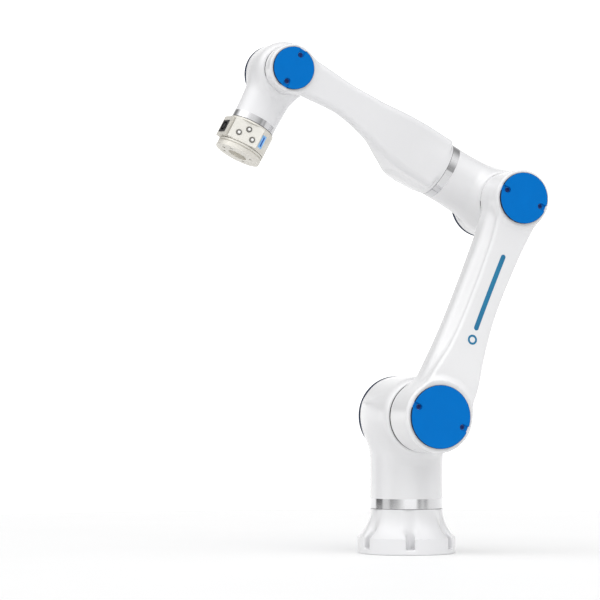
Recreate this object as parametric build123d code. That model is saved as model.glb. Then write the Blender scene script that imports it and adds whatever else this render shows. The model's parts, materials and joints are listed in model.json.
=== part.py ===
from build123d import *
from math import cos, radians, sin
import os

# Six-axis collaborative robot arm.  Millimetres and degrees.
# Origin: centre of the base's mounting face.  +Z up, along joint 1.
# Joints 2, 3 and 5 turn about lines parallel to Y; the arm bends in the X-Z plane.
# The link housings stand on the -Y side of the joint modules.

# ---- driving dimensions: the kinematic chain --------------------------------
SHOULDER_HEIGHT = 220.0
UPPER_ARM_LENGTH = 380.0
FOREARM_LENGTH = 420.0
UPPER_ARM_LEAN = 23.8
FOREARM_RISE = 28.3
WRIST_LEAN = 28.0

# ---- driving dimensions: seams and clearances -------------------------------
SEAM = 0.6
RUNNING_GAP = 0.4
FLANGE_RECESS = 6.0
FRAME_STEP = 2.0
FLANGE_SHARE = 0.72

# ---- base -------------------------------------------------------------------
BASE_RADIUS = 78.5
BASE_RIM_HEIGHT = 26.0
BASE_TOP = 72.0
BASE_TOP_RADIUS = 58.5
BASE_CAVITY_RADIUS = 46.0
BASE_DECK_HEIGHT = 56.0
BASE_FOOT = 9.0
BASE_TURN = 13.0
MOUNT_RADIUS = 69.0
MOUNT_HOLES = 6
MOUNT_HOLE_RADIUS = 4.5
POCKET_RADIUS = 6.5
COVER_RADIUS = 52.0
COVER_THICKNESS = 4.0
CABLE_RADIUS = 18.0
CONNECTOR_HEIGHT = 38.0
CONNECTOR_RADIUS = 13.0
CONNECTOR_TURN = BASE_TURN + 90.0

# ---- shoulder module --------------------------------------------------------
COLUMN_RADIUS = 59.0
COLUMN_BORE = 52.0
TRIM_HEIGHT = 16.0
SHOULDER_RADIUS = 64.0
SHOULDER_BORE = 58.0
SHOULDER_FRONT = -69.6
SHOULDER_BACK = 42.0
BACK_CAP_THICKNESS = 6.0
J1_STACK = 84.0
J2_STACK = 104.0

# ---- upper arm --------------------------------------------------------------
LOWER_BOSS_RADIUS = 57.0
LOWER_BOSS_FRONT = -141.5
LOWER_CAP_RADIUS = 49.5
UPPER_BOSS_RADIUS = 46.0
UPPER_BOSS_FRONT = -119.5
UPPER_CAP_RADIUS = 40.5
FRONT_CAP_THICKNESS = 4.5
CAP_SEAT = 12.0
CAP_RIM = 9.0
BOSS_WALL = 6.0
DECK = 14.0
WALL = 5.0

# ---- elbow module -----------------------------------------------------------
ELBOW_RADIUS = 52.0
ELBOW_BORE = 46.0
ELBOW_FRONT = -51.4
ELBOW_BACK = 46.6
NECK_RADIUS = 46.5
NECK_BORE = 41.0
FOREARM_SEAM = 113.0
ELBOW_TRIM = 12.6
J3_STACK = 90.0
J4_STACK = 62.0

# ---- forearm ----------------------------------------------------------------
FOREARM_FRONT = -66.0
END_BOSS_RADIUS = 38.5
END_CAP_RADIUS = 33.4
END_CAP_THICKNESS = 4.0
END_DECK = 9.0

# ---- wrist module -----------------------------------------------------------
WRIST_RADIUS = 47.0
WRIST_BORE = 41.0
WRIST_FRONT = -38.0
WRIST_BACK = 30.0
WRIST_NECK_RADIUS = 36.0
WRIST_NECK_BORE = 31.0
TOOL_SEAM = 99.0
WRIST_TRIM = 10.5
J5_STACK = 61.0
J6_STACK = 53.0

# ---- tool end ---------------------------------------------------------------
TOOL_RADIUS = 38.0
TOOL_HOUSING_END = 138.0
TOOL_FLANGE_START = 139.0
TOOL_FLANGE_END = 151.0
TOOL_FLANGE_RADIUS = 37.5
TOOL_BOLT_CIRCLE = 50.0
TOOL_BOLT_RADIUS = 2.5
TOOL_DOWEL_RADIUS = 3.0
TOOL_PILOT_RADIUS = 15.75
PANEL_TURN = 20.0
PANEL_WIDTH = 49.0
PANEL_OFFSET = 33.0
PANEL_START = 103.0
PANEL_THICKNESS = 2.0
BUTTON_RADIUS = 4.4
BUTTON_PLACES = {"free_drive_button": (-2.0, 113.5), "record_point_button": (10.5, 124.5),
                 "user_button": (-13.6, 126.5)}
LIGHT_TURN = -28.0
SOCKET_TURN = 82.0

# ---- screws -----------------------------------------------------------------
SCREW_INSET = 9.5
SLOT_RADIUS = 5.0
SLOT_FLOOR = 0.8
SCREW_SEAT = -1.5
SEAT_BOSS_RADIUS = 6.0
SEAT_BOSS_DEPTH = 4.0
SCREW_HEAD_RADIUS = 3.5
SCREW_HEAD_HEIGHT = 2.6
SCREW_SHANK_RADIUS = 1.9
SCREW_LENGTH = 8.0

# ---- placement --------------------------------------------------------------
lean = radians(UPPER_ARM_LEAN)
rise = radians(FOREARM_RISE)
shoulder_point = Vector(0, 0, SHOULDER_HEIGHT)
elbow_point = shoulder_point + Vector(sin(lean), 0, cos(lean)) * UPPER_ARM_LENGTH
wrist_point = elbow_point + Vector(-cos(rise), 0, sin(rise)) * FOREARM_LENGTH

shoulder_at = Location(shoulder_point)
arm_at = Location(shoulder_point) * Rot(0, UPPER_ARM_LEAN, 0)
elbow_at = Location(elbow_point) * Rot(0, FOREARM_RISE - 90, 0)
wrist_at = Location(wrist_point) * Rot(0, 180 + WRIST_LEAN, 0)
along_y = Rot(-90, 0, 0)
along_minus_z = Rot(180, 0, 0)

parts = {}


def rod(radius, low, high):
    """A solid cylinder on the local Z axis from low to high."""
    return Pos(0, 0, low) * Cylinder(radius, high - low, align=(Align.CENTER, Align.CENTER, Align.MIN))


def ring(outer, inner, low, high):
    """A flat-ended tube on the local Z axis."""
    return rod(outer, low, high) - rod(inner, low - 1, high + 1)


def bar(radius, low, high):
    """A solid cylinder on the local Y axis from low to high."""
    return along_y * rod(radius, low, high)


def softened(shape, size, edges):
    """The shape with the given edges rounded."""
    return fillet(edges, size) if edges else shape


def round_outer_rim(shape, radius, height, size):
    """Rounds the circular edges of one radius that lie at one height on the local Z axis."""
    rims = [
        e for e in shape.edges().filter_by(GeomType.CIRCLE)
        if abs(e.radius - radius) < 0.01 and abs(e.center().Z - height) < 0.01
    ]
    return softened(shape, size, rims)


# ---- one joint drive --------------------------------------------------------
def drive(name, place, bore, length, hollow):
    """The stack of one joint, on a local Z axis that starts at the seam and runs into the module."""
    flange_radius = FLANGE_SHARE * bore
    flange_end = 0.10 * length
    reducer_end = 0.36 * length
    frame_end = 0.78 * length
    encoder_end = 0.95 * length
    frame_radius = bore - FRAME_STEP
    generator_radius = 0.48 * bore
    rotor_radius = 0.56 * bore
    shaft_radius = hollow + 2.5

    flange = ring(flange_radius, hollow, -FLANGE_RECESS, flange_end)
    flange -= rod(hollow + 4, flange_end - 2, flange_end + 1)

    reducer = ring(bore - 0.1, generator_radius + RUNNING_GAP, 1.0, reducer_end)
    reducer -= rod(flange_radius + RUNNING_GAP, 0, flange_end + RUNNING_GAP)

    stator = ring(frame_radius - 0.1, frame_radius - 3, reducer_end, frame_end)
    stator += ring(frame_radius - 1, rotor_radius + RUNNING_GAP, 0.44 * length, 0.70 * length)

    rotor = ring(shaft_radius, hollow, 0.14 * length, 0.97 * length)
    rotor += ring(generator_radius, hollow, 0.18 * length, 0.33 * length)
    rotor += ring(rotor_radius, hollow, 0.46 * length, 0.68 * length)

    encoder = ring(frame_radius - 0.1, shaft_radius + RUNNING_GAP, frame_end, encoder_end)
    encoder -= ring(frame_radius - 4, shaft_radius + 3, encoder_end - 3, encoder_end + 1)

    parts[f"{name}_output_flange"] = place * flange
    parts[f"{name}_reducer"] = place * reducer
    parts[f"{name}_motor_stator"] = place * stator
    parts[f"{name}_rotor_shaft"] = place * rotor
    parts[f"{name}_brake_encoder"] = place * encoder


def drive_bore(bore, length, end):
    """The space inside a module for one joint drive, stepped where the reducer seats."""
    return rod(bore, -1, 0.36 * length) + rod(bore - FRAME_STEP, 0, end)


# ---- caps and their screws --------------------------------------------------
def cap_screw():
    """One socket-head screw, head face at local z = 0, shank towards -Z."""
    head = rod(SCREW_HEAD_RADIUS, -SCREW_HEAD_HEIGHT, 0)
    socket = Pos(0, 0, -1.4) * extrude(RegularPolygon(1.7, 6), 2)
    return head - socket + rod(SCREW_SHANK_RADIUS, -SCREW_LENGTH, -SCREW_HEAD_HEIGHT)


def module_bore(place, bore, stack, cap_radius, front, back):
    """The through bore of a module, narrowed behind its back cap where the cap's screws hold."""
    depth = back - front
    space = drive_bore(bore, stack, depth - CAP_RIM) + rod(cap_radius - CAP_SEAT, 0, depth + 1)
    return place * (space + Pos(0, 0, depth) * screw_holes(cap_radius))


def screw_spots(radius):
    """The two places of a cap's screws, each with its local X axis towards the rim."""
    return [Rot(0, 0, turn) * Pos(radius - SCREW_INSET, 0, 0) for turn in (0, 180)]


def cap_disc(radius, thickness):
    """A cap on the local Z axis: seat at z = 0, face at z = thickness, lip into the bore.
    Each screw sits in a slot that opens at the rim."""
    lip_radius = radius - CAP_SEAT - 0.1
    disc = round_outer_rim(rod(radius, 0, thickness), radius, thickness, 0.8)
    disc += ring(lip_radius, lip_radius - 2, -3, 0)
    slot = rod(SLOT_RADIUS, SLOT_FLOOR, thickness + 1)
    slot += Pos(SCREW_INSET, 0, (SLOT_FLOOR + thickness + 1) / 2) * Box(
        2 * SCREW_INSET, 2 * SLOT_RADIUS, thickness + 1 - SLOT_FLOOR
    )
    for spot in screw_spots(radius):
        disc += spot * rod(SEAT_BOSS_RADIUS, -SEAT_BOSS_DEPTH, 0)
        disc -= spot * slot
        disc -= spot * rod(SCREW_HEAD_RADIUS + RUNNING_GAP, SCREW_SEAT, SLOT_FLOOR + 1)
        disc -= spot * rod(SCREW_SHANK_RADIUS + 0.2, -SEAT_BOSS_DEPTH - 1, 0)
    return disc


def cap_screws(radius):
    """The two screws of one cap, in the cap's own frame."""
    return [spot * Pos(0, 0, SCREW_SEAT + SCREW_HEAD_HEIGHT) * cap_screw() for spot in screw_spots(radius)]


def screw_holes(radius):
    """The seats and tapped holes under a cap's screws, in the cap's own frame."""
    depth = SCREW_SEAT + SCREW_HEAD_HEIGHT - SCREW_LENGTH - 1
    seat = rod(SEAT_BOSS_RADIUS + 0.1, -SEAT_BOSS_DEPTH - 0.1, 1)
    holes = [spot * (seat + rod(SCREW_SHANK_RADIUS + 0.05, depth, 1)) for spot in screw_spots(radius)]
    return holes[0] + holes[1]


def module_cut(front, back, reach, scoop):
    """What trims a module's neck to its end planes, with a rounded scoop beyond the back cap."""
    far = 300.0
    behind = Pos(0, back + far / 2, 0) * Box(far, far, 2 * reach)
    corners = behind.edges().filter_by(Axis.X).group_by(Axis.Y)[0]
    ahead = Pos(0, front - far / 2, 0) * Box(far, far, far)
    return fillet(corners, scoop) + ahead


# ---- base -------------------------------------------------------------------
def base_housing():
    flare_middle_height = 52.0
    flare_middle_radius = 63.4
    outline = Polyline((0, 0), (BASE_RADIUS - 1.5, 0), (BASE_RADIUS, 1.5), (BASE_RADIUS, BASE_RIM_HEIGHT))
    flare = ThreePointArc(
        (BASE_RADIUS, BASE_RIM_HEIGHT),
        (flare_middle_radius, flare_middle_height),
        (BASE_TOP_RADIUS, BASE_TOP - SEAM / 2),
    )
    top = Polyline((BASE_TOP_RADIUS, BASE_TOP - SEAM / 2), (0, BASE_TOP - SEAM / 2), (0, 0))
    profile = make_face([*outline.edges(), flare, *top.edges()])
    body = revolve(Plane.XZ * profile, Axis.Z)
    body -= rod(COVER_RADIUS + 0.2, -1, COVER_THICKNESS + 1)
    body -= rod(BASE_CAVITY_RADIUS, 0, BASE_DECK_HEIGHT)
    body -= rod(CABLE_RADIUS, 0, BASE_TOP + 1)
    body -= rod(FLANGE_SHARE * COLUMN_BORE, BASE_TOP - FLANGE_RECESS, BASE_TOP + 1)
    pocket = rod(POCKET_RADIUS, BASE_FOOT, BASE_TOP)
    pocket += Pos(POCKET_RADIUS + 10, 0, (BASE_FOOT + BASE_TOP) / 2) * Box(
        2 * POCKET_RADIUS + 20, 2 * POCKET_RADIUS, BASE_TOP - BASE_FOOT
    )
    hole = rod(MOUNT_HOLE_RADIUS, -1, BASE_FOOT + 1)
    for step in range(MOUNT_HOLES):
        turn = Rot(0, 0, BASE_TURN + step * 360 / MOUNT_HOLES) * Pos(MOUNT_RADIUS, 0, 0)
        body -= turn * pocket
        body -= turn * hole
    body -= connector_at * rod(CONNECTOR_RADIUS, -50, 1)
    body -= connector_at * rod(CONNECTOR_RADIUS + 4, 0, 30)
    return body


connector_at = Rot(0, 0, CONNECTOR_TURN) * Pos(BASE_RADIUS - 14, 0, CONNECTOR_HEIGHT) * Rot(0, 90, 0)


def base_connector():
    """A round multi-pin connector: a nose with a narrow key groove round a core of contacts."""
    nose_end = 13.0
    core_radius = 6.4
    shell = rod(CONNECTOR_RADIUS + 3.5, 0, 3)
    shell += rod(CONNECTOR_RADIUS - 0.1, -16, 0)
    shell += rod(CONNECTOR_RADIUS - 1.0, 3, nose_end)
    shell -= ring(core_radius + 3.0, core_radius, nose_end - 8, nose_end + 1)
    for step in range(6):
        shell -= Rot(0, 0, step * 60) * Pos(3.8, 0, 0) * rod(0.8, nose_end - 4, nose_end + 1)
    return shell - rod(0.8, nose_end - 4, nose_end + 1)


parts["base_housing"] = base_housing()
parts["base_bottom_cover"] = rod(COVER_RADIUS, 1, 1 + COVER_THICKNESS)
parts["base_connector"] = connector_at * base_connector()
drive("j1", Pos(0, 0, BASE_TOP), COLUMN_BORE, J1_STACK, CABLE_RADIUS)

# ---- shoulder ---------------------------------------------------------------
column_start = BASE_TOP + SEAM / 2 + TRIM_HEIGHT
shoulder_cap_at = shoulder_at * Pos(0, SHOULDER_BACK, 0) * along_y
j2_at = shoulder_at * Pos(0, SHOULDER_FRONT, 0) * along_y


def flared_neck(radius, wide_radius, low, straight_end, high):
    """A neck on the local Z axis that widens in an arc between straight_end and high."""
    profile = make_face([
        *Polyline((0, high), (0, low), (radius, low), (radius, straight_end)).edges(),
        TangentArc((radius, straight_end), (wide_radius, high), tangent=(0, 1)),
        Line((wide_radius, high), (0, high)),
    ])
    return revolve(Plane.XZ * profile, Axis.Z)


def shoulder_housing():
    lip_width = 3.0
    flare_start = 150.0
    flare_end = 206.0
    body = shoulder_at * bar(SHOULDER_RADIUS, SHOULDER_FRONT + lip_width, SHOULDER_BACK)
    body += flared_neck(COLUMN_RADIUS, SHOULDER_RADIUS - 0.4, column_start, flare_start, flare_end)
    body += shoulder_at * bar(61.0, SHOULDER_FRONT, SHOULDER_FRONT + lip_width)
    body -= shoulder_at * module_cut(SHOULDER_FRONT, SHOULDER_BACK, SHOULDER_RADIUS + 21, 17)
    body -= Pos(0, 0, BASE_TOP) * drive_bore(COLUMN_BORE, J1_STACK, SHOULDER_HEIGHT - BASE_TOP)
    return body - module_bore(j2_at, SHOULDER_BORE, J2_STACK, SHOULDER_RADIUS, SHOULDER_FRONT, SHOULDER_BACK)


parts["shoulder_trim_ring"] = ring(COLUMN_RADIUS, COLUMN_BORE, BASE_TOP + SEAM / 2, column_start)
parts["shoulder_housing"] = shoulder_housing()
parts["shoulder_back_cap"] = shoulder_cap_at * cap_disc(SHOULDER_RADIUS, BACK_CAP_THICKNESS)
drive("j2", j2_at, SHOULDER_BORE, J2_STACK, 16.0)

# ---- upper arm --------------------------------------------------------------
def box_section(width, depth, corner, z, x, y):
    """A rounded rectangle across the local Z axis, centred on (x, y) at height z."""
    return Pos(x, y, z) * RectangleRounded(width, depth, corner)


def beam(stations, wall):
    """A loft through (z, x_low, x_high, y_front, y_back, corner) stations, shrunk by a wall."""
    sections = []
    for z, x_low, x_high, y_front, y_back, corner in stations:
        width = x_high - x_low - 2 * wall
        depth = y_back - y_front - 2 * wall
        radius = min(max(corner - wall, 2.0), width / 2 - 0.5, depth / 2 - 0.5)
        sections.append(
            box_section(width, depth, radius, z, (x_low + x_high) / 2, (y_front + y_back) / 2)
        )
    return loft(sections)


ARM_STATIONS = [
    (20, -50, 50, -139, -70.2, 12),
    (72, -41, 46, -136, -70.2, 14),
    (120, -36, 40, -130, -67, 16),
    (190, -33, 34, -124, -61, 18),
    (285, -33, 34, -119, -53.5, 18),
    (350, -40, 41, -118, -52.0, 12),
]
lower_boss_back = SHOULDER_FRONT - SEAM
upper_boss_back = ELBOW_FRONT - SEAM
arm_end_at = arm_at * Pos(0, 0, UPPER_ARM_LENGTH)
lower_cap_at = arm_at * Pos(0, LOWER_BOSS_FRONT, 0) * Rot(90, 0, 0)
upper_cap_at = arm_end_at * Pos(0, UPPER_BOSS_FRONT, 0) * Rot(90, 0, 0)


def boss_bore(radius, cap_radius, front, deck):
    """The space inside a boss, narrowed at the front where the cap's screws hold."""
    return bar(radius - BOSS_WALL, front + CAP_RIM, deck) + bar(cap_radius - CAP_SEAT, front - 1, deck)


def boss(radius, front, back, rounding):
    """A joint boss on the local Y axis, its front rim rounded outside the cap's seat."""
    length = back - front
    shape = round_outer_rim(rod(radius, 0, length), radius, length, rounding)
    return Pos(0, back, 0) * Rot(90, 0, 0) * shape


def upper_arm_housing():
    top = Pos(0, 0, UPPER_ARM_LENGTH)
    body = boss(LOWER_BOSS_RADIUS, LOWER_BOSS_FRONT, lower_boss_back, 5)
    body += top * boss(UPPER_BOSS_RADIUS, UPPER_BOSS_FRONT, upper_boss_back, 4)
    body += beam(ARM_STATIONS, 0)
    body -= beam(ARM_STATIONS, WALL)
    body -= boss_bore(LOWER_BOSS_RADIUS, LOWER_CAP_RADIUS, LOWER_BOSS_FRONT, lower_boss_back - DECK)
    body -= top * boss_bore(UPPER_BOSS_RADIUS, UPPER_CAP_RADIUS, UPPER_BOSS_FRONT, upper_boss_back - DECK)
    body -= bar(16, LOWER_BOSS_FRONT, 0) + top * bar(13, UPPER_BOSS_FRONT, 0)
    body += ring_on_y(FLANGE_SHARE * SHOULDER_BORE + 4, 16, lower_boss_back - DECK, lower_boss_back)
    body += top * ring_on_y(FLANGE_SHARE * ELBOW_BORE + 4, 13, upper_boss_back - DECK, upper_boss_back)
    body -= bar(FLANGE_SHARE * SHOULDER_BORE, SHOULDER_FRONT - FLANGE_RECESS, 0)
    body -= top * bar(FLANGE_SHARE * ELBOW_BORE, ELBOW_FRONT - FLANGE_RECESS, 0)
    body = arm_at * body
    body -= lower_cap_at * screw_holes(LOWER_CAP_RADIUS)
    body -= upper_cap_at * screw_holes(UPPER_CAP_RADIUS)
    return body


def ring_on_y(outer, inner, low, high):
    """A flat-ended tube on the local Y axis."""
    return along_y * ring(outer, inner, low, high)


parts["upper_arm_housing"] = upper_arm_housing()
parts["upper_arm_lower_cap"] = lower_cap_at * cap_disc(LOWER_CAP_RADIUS, FRONT_CAP_THICKNESS)
parts["upper_arm_upper_cap"] = upper_cap_at * cap_disc(UPPER_CAP_RADIUS, FRONT_CAP_THICKNESS)

# ---- elbow module -----------------------------------------------------------
ring_start = FOREARM_SEAM - SEAM / 2 - ELBOW_TRIM
elbow_cap_at = elbow_at * Pos(0, ELBOW_BACK, 0) * along_y
j3_at = elbow_at * Pos(0, ELBOW_FRONT, 0) * along_y
j4_at = elbow_at * Pos(0, 0, FOREARM_SEAM) * along_minus_z


def elbow_housing():
    body = bar(ELBOW_RADIUS, ELBOW_FRONT + 10, ELBOW_BACK)
    body += bar(ELBOW_RADIUS - 3, ELBOW_FRONT, ELBOW_FRONT + 10)
    body += along_minus_z * flared_neck(NECK_RADIUS, ELBOW_RADIUS - 0.4, -ring_start, -70, -14)
    body -= module_cut(ELBOW_FRONT, ELBOW_BACK, ELBOW_RADIUS + 4, 1)
    body = elbow_at * body
    body -= j4_at * drive_bore(NECK_BORE, J4_STACK, FOREARM_SEAM)
    return body - module_bore(j3_at, ELBOW_BORE, J3_STACK, ELBOW_RADIUS, ELBOW_FRONT, ELBOW_BACK)


parts["elbow_housing"] = elbow_housing()
parts["elbow_trim_ring"] = elbow_at * ring(NECK_RADIUS, NECK_BORE, ring_start, FOREARM_SEAM - SEAM / 2)
parts["elbow_back_cap"] = elbow_cap_at * cap_disc(ELBOW_RADIUS, BACK_CAP_THICKNESS)
drive("j3", j3_at, ELBOW_BORE, J3_STACK, 13.0)
drive("j4", j4_at, NECK_BORE, J4_STACK, 11.0)

# ---- forearm ----------------------------------------------------------------
SLEEVE_STATIONS = [
    (150, -46.4, 46.4, -46.4, 46.4, 46),
    (205, -43, 42, -58, 26, 34),
    (262, -33, 34, -65.5, -43, 11),
]
FOREARM_STATIONS = [
    (250, -35, 34.5, -65, -43.5, 10),
    (320, -24, 31, -65.5, -43.5, 10),
    (395, -34, 35, -65.5, -40, 9),
]
end_boss_back = WRIST_FRONT - SEAM
forearm_end_at = elbow_at * Pos(0, 0, FOREARM_LENGTH)
forearm_cap_at = forearm_end_at * Pos(0, FOREARM_FRONT, 0) * Rot(90, 0, 0)


def forearm_housing():
    end = Pos(0, 0, FOREARM_LENGTH)
    start = FOREARM_SEAM + SEAM / 2
    body = rod(NECK_RADIUS, start, 176)
    body += beam(SLEEVE_STATIONS, 0) + beam(FOREARM_STATIONS, 0)
    body += end * boss(END_BOSS_RADIUS, FOREARM_FRONT, end_boss_back, 3)
    body -= rod(NECK_RADIUS - WALL, start + DECK, 160)
    body -= beam(SLEEVE_STATIONS, WALL) + beam(FOREARM_STATIONS, 4)
    body -= end * bar(END_CAP_RADIUS - CAP_SEAT, FOREARM_FRONT - 1, end_boss_back - END_DECK)
    body -= end * bar(END_BOSS_RADIUS - WALL, FOREARM_FRONT + 6, end_boss_back - END_DECK)
    body += end * ring_on_y(FLANGE_SHARE * WRIST_BORE + 3, 9, end_boss_back - END_DECK, end_boss_back)
    body -= rod(11, start - 1, 140) + end * bar(9, FOREARM_FRONT, 0)
    body -= rod(FLANGE_SHARE * NECK_BORE, start - 1, FOREARM_SEAM + FLANGE_RECESS)
    body -= end * bar(FLANGE_SHARE * WRIST_BORE, WRIST_FRONT - FLANGE_RECESS, 0)
    return elbow_at * body - forearm_cap_at * screw_holes(END_CAP_RADIUS)


parts["forearm_housing"] = forearm_housing()
parts["forearm_end_cap"] = forearm_cap_at * cap_disc(END_CAP_RADIUS, END_CAP_THICKNESS)

# ---- wrist module -----------------------------------------------------------
wrist_ring_start = TOOL_SEAM - SEAM / 2 - WRIST_TRIM
wrist_cap_at = wrist_at * Pos(0, WRIST_BACK, 0) * along_y
j5_at = wrist_at * Pos(0, WRIST_FRONT, 0) * along_y
j6_at = wrist_at * Pos(0, 0, TOOL_SEAM) * along_minus_z


def wrist_housing():
    body = bar(WRIST_RADIUS, WRIST_FRONT + 12, WRIST_BACK)
    body += bar(WRIST_RADIUS - 4, WRIST_FRONT, WRIST_FRONT + 12)
    body += along_minus_z * flared_neck(
        WRIST_NECK_RADIUS, WRIST_NECK_RADIUS + 5, -wrist_ring_start, -70, -20
    )
    body -= module_cut(WRIST_FRONT, WRIST_BACK, WRIST_RADIUS + 14, 9)
    body = wrist_at * body
    body -= j6_at * drive_bore(WRIST_NECK_BORE, J6_STACK, TOOL_SEAM)
    return body - module_bore(j5_at, WRIST_BORE, J5_STACK, WRIST_RADIUS, WRIST_FRONT, WRIST_BACK)


parts["wrist_housing"] = wrist_housing()
parts["wrist_trim_ring"] = wrist_at * ring(
    WRIST_NECK_RADIUS, WRIST_NECK_BORE, wrist_ring_start, TOOL_SEAM - SEAM / 2
)
parts["wrist_back_cap"] = wrist_cap_at * cap_disc(WRIST_RADIUS, BACK_CAP_THICKNESS)
drive("j5", j5_at, WRIST_BORE, J5_STACK, 9.0)
drive("j6", j6_at, WRIST_NECK_BORE, J6_STACK, 7.0)

# ---- tool end ---------------------------------------------------------------
tool_start = TOOL_SEAM + SEAM / 2
panel_at = Rot(0, 0, PANEL_TURN)
panel_face = -(PANEL_OFFSET + PANEL_THICKNESS)


def tool_block(angle, width, offset, depth, low, high):
    """A block that leans on the tool housing's side, its outer face at the given offset."""
    centre = Pos(0, -offset + depth / 2, (low + high) / 2)
    return Rot(0, 0, angle) * centre * Box(width, depth, high - low)


def tool_io_housing():
    body = round_outer_rim(rod(TOOL_RADIUS, tool_start, TOOL_HOUSING_END), TOOL_RADIUS, tool_start, 3)
    body += tool_block(SOCKET_TURN, 30, 42, 20, tool_start + 5, TOOL_HOUSING_END)
    body -= tool_block(PANEL_TURN, PANEL_WIDTH + 0.4, 60, 60 - PANEL_OFFSET, PANEL_START - 0.2, 137)
    body -= tool_block(PANEL_TURN, 44, PANEL_OFFSET + 1, 8, PANEL_START + 2, 135)
    body -= rod(26, tool_start + 10, TOOL_HOUSING_END + 1)
    body -= rod(7, tool_start - 1, TOOL_HOUSING_END)
    body -= rod(FLANGE_SHARE * WRIST_NECK_BORE, tool_start - 1, TOOL_SEAM + FLANGE_RECESS)
    body -= tool_block(SOCKET_TURN, 20.2, 50, 16, 112, 132)
    body -= tool_block(LIGHT_TURN, 8.2, 50, 15, 109.9, 131.1)
    return body


def panel():
    plate = tool_block(PANEL_TURN, PANEL_WIDTH, -panel_face, PANEL_THICKNESS, PANEL_START, 136.8)
    for x, z in BUTTON_PLACES.values():
        plate -= panel_at * Pos(x, 0, z) * bar(BUTTON_RADIUS + RUNNING_GAP, panel_face - 1, 0)
    return plate


def button(x, z):
    """A round push button with a collar behind the panel."""
    shape = bar(BUTTON_RADIUS, panel_face - 1.2, panel_face + 2.5)
    shape += bar(BUTTON_RADIUS + 1.0, panel_face + 2.5 + 0.9, panel_face + 4.4)
    shape += bar(BUTTON_RADIUS - 1, panel_face, panel_face + 4)
    return panel_at * Pos(x, 0, z) * shape


def io_connector():
    shell = tool_block(SOCKET_TURN, 20, 43, 9, 112, 132)
    shell -= Rot(0, 0, SOCKET_TURN) * Pos(0, 0, 122) * ring_on_y(7.5, 4.5, -44, -38)
    for step in range(8):
        pin = Rot(0, step * 45, 0) * Pos(3, 0, 0) * bar(0.5, -45, -42.5)
        shell -= Rot(0, 0, SOCKET_TURN) * Pos(0, 0, 122) * pin
    return shell


def tool_flange():
    disc = rod(TOOL_FLANGE_RADIUS, TOOL_FLANGE_START, TOOL_FLANGE_END)
    disc += rod(TOOL_FLANGE_RADIUS - 2.5, TOOL_HOUSING_END, TOOL_FLANGE_START)
    disc -= ring(TOOL_FLANGE_RADIUS + 1, TOOL_FLANGE_RADIUS - 1.5, 142, 144)
    disc -= rod(TOOL_PILOT_RADIUS, TOOL_FLANGE_END - 6, TOOL_FLANGE_END + 1)
    for step in range(4):
        turn = Rot(0, 0, 45 + step * 90) * Pos(TOOL_BOLT_CIRCLE / 2, 0, 0)
        disc -= turn * rod(TOOL_BOLT_RADIUS, TOOL_FLANGE_END - 8, TOOL_FLANGE_END + 1)
    dowel = rod(TOOL_DOWEL_RADIUS, TOOL_FLANGE_END - 6, TOOL_FLANGE_END + 1)
    disc -= Pos(TOOL_BOLT_CIRCLE / 2, 0, 0) * dowel
    return disc


parts["tool_io_housing"] = wrist_at * tool_io_housing()
parts["tool_flange"] = wrist_at * tool_flange()
parts["button_panel"] = wrist_at * panel()
parts["status_light_window"] = wrist_at * tool_block(LIGHT_TURN, 8, 38.4, 3.4, 110, 131)
parts["io_connector"] = wrist_at * io_connector()
for node, (x, z) in BUTTON_PLACES.items():
    parts[node] = wrist_at * button(x, z)

# ---- cap screws -------------------------------------------------------------
screw_groups = {
    "shoulder_cap_screws": [(shoulder_cap_at, SHOULDER_RADIUS)],
    "upper_arm_cap_screws": [(lower_cap_at, LOWER_CAP_RADIUS), (upper_cap_at, UPPER_CAP_RADIUS)],
    "elbow_cap_screws": [(elbow_cap_at, ELBOW_RADIUS)],
    "forearm_cap_screws": [(forearm_cap_at, END_CAP_RADIUS)],
    "wrist_cap_screws": [(wrist_cap_at, WRIST_RADIUS)],
}
for node, caps in screw_groups.items():
    screws = [place * screw for place, radius in caps for screw in cap_screws(radius)]
    parts[node] = Compound(children=screws)

# ---- one file per part ------------------------------------------------------
os.makedirs("parts", exist_ok=True)
for node, shape in parts.items():
    export_step(shape, f"parts/{node}.step")
    print(node, round(shape.volume / 1000, 1), len(shape.solids()), shape.is_valid)
print("elbow", elbow_point, "wrist", wrist_point, "files", len(parts))
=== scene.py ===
import json
import math

import bmesh
import bpy
import numpy as np
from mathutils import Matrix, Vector

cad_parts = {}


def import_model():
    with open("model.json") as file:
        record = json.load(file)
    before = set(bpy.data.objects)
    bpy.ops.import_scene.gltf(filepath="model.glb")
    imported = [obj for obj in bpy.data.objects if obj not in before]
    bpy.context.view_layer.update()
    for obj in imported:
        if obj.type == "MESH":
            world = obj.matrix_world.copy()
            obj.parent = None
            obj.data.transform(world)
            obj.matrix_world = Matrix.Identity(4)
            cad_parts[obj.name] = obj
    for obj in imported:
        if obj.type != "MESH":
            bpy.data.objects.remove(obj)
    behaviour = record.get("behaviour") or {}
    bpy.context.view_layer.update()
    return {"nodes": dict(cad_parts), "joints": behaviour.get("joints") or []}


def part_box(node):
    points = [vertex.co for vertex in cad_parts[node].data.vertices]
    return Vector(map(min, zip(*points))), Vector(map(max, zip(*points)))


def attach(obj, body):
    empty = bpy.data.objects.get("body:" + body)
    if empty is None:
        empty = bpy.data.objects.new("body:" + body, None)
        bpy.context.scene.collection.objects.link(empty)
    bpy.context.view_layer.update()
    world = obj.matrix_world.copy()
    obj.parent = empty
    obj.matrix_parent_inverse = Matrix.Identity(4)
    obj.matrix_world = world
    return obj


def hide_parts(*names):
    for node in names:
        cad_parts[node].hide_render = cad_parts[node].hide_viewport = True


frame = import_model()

MM = 0.001
joints = {joint["name"]: joint for joint in frame["joints"]}

# ---- places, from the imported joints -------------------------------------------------


def unit(v):
    return v / np.linalg.norm(v)


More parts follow.
